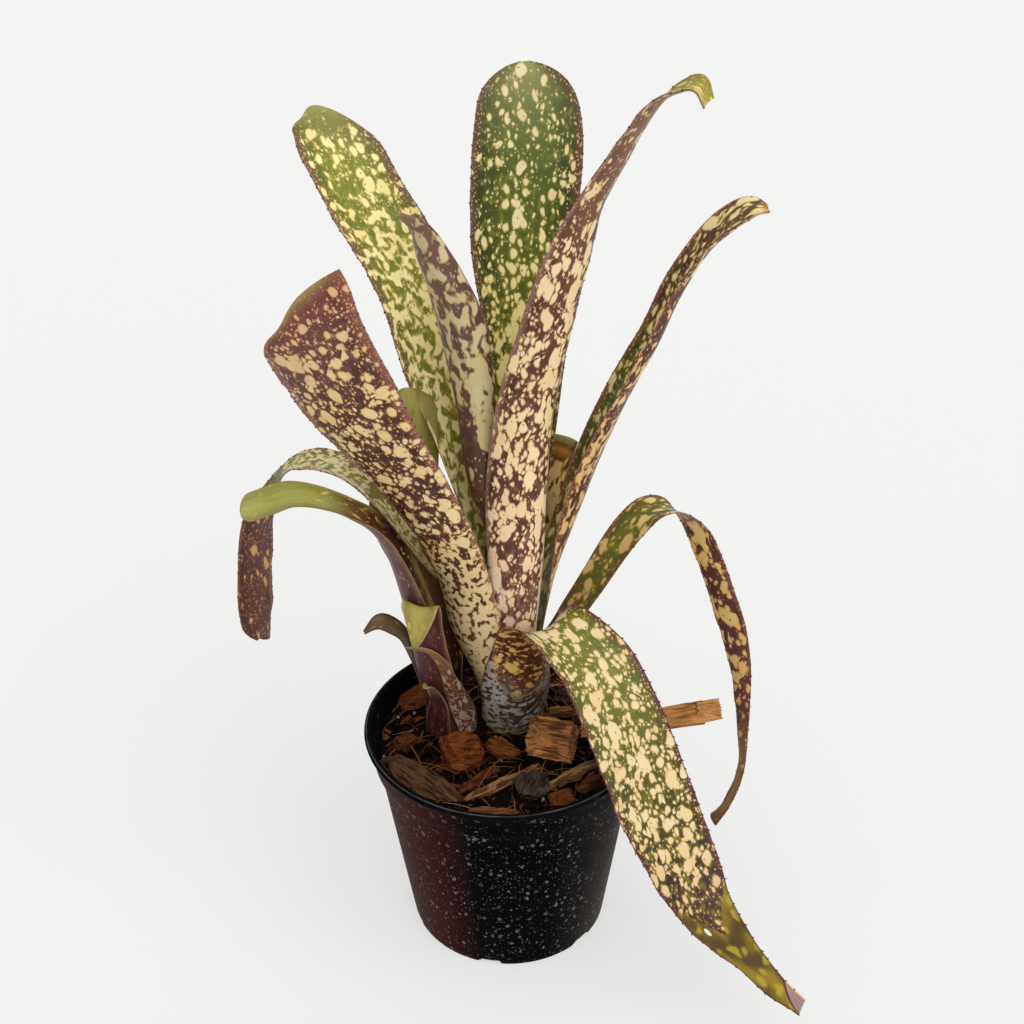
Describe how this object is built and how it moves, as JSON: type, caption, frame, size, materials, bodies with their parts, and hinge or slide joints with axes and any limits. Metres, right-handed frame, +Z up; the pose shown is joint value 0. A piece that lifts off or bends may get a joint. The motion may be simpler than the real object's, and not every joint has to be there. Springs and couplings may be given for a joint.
{
  "type": "bromeliad plant",
  "caption": "Potted tubular bromeliad: an upright rosette of long spotted strap leaves with a small offset, in bark mix in a tapered round nursery pot",
  "frame": {"origin": "centre of the pot's foot, on the surface it stands on", "axes": "+Z up along the pot's axis, +X to the right and -Y toward the viewer as the plant is pictured"},
  "size_m": [0.2372, 0.2074, 0.3804],
  "materials": {
    "pot": "moulded plastic, near black with fine pale flecks",
    "potting_mix": "dark bark fines with tan fibres",
    "stem": "pale woody stem",
    "leaf_spotted": "waxy green and maroon with cream spots",
    "leaf_plain": "waxy olive green shading to plum",
    "leaf_dry": "dry tan and brown leaf tissue",
    "bark": "rough split bark, orange brown to grey"
  },
  "bodies": {
    "root": {"pot": "pot", "potting_mix": "potting_mix", "crown": "stem", "pup_stem": "stem", "leaf_front_droop": "leaf_spotted", "leaf_right_arch": "leaf_spotted", "leaf_left": "leaf_spotted", "leaf_left_arch": "leaf_spotted", "leaf_front": "leaf_spotted", "leaf_right": "leaf_spotted", "leaf_stub": "leaf_dry", "leaf_back_left": "leaf_spotted", "leaf_back": "leaf_spotted", "leaf_heart": "leaf_spotted", "pup_bract_low": "leaf_plain", "pup_scale_dry": "leaf_dry", "pup_bract_left": "leaf_dry", "pup_bract_fold": "leaf_plain", "pup_tube": "leaf_plain", "pup_blade_back": "leaf_plain", "bark_long_flat": "bark", "bark_round_large": "bark", "bark_round_small": "bark", "bark_fibre_block": "bark", "bark_stick_front": "bark", "bark_stick_dark": "bark", "bark_flake_grey": "bark", "bark_strip_right": "bark", "bark_bit_front": "bark", "bark_bit_right": "bark", "bark_strip_front": "bark", "bark_flat_left": "bark", "bark_flat_back_left": "bark", "bark_bit_back": "bark", "bark_chip_right": "bark", "bark_bit_back_right": "bark", "bark_stick_rim": "bark"}
  },
  "joints": []
}
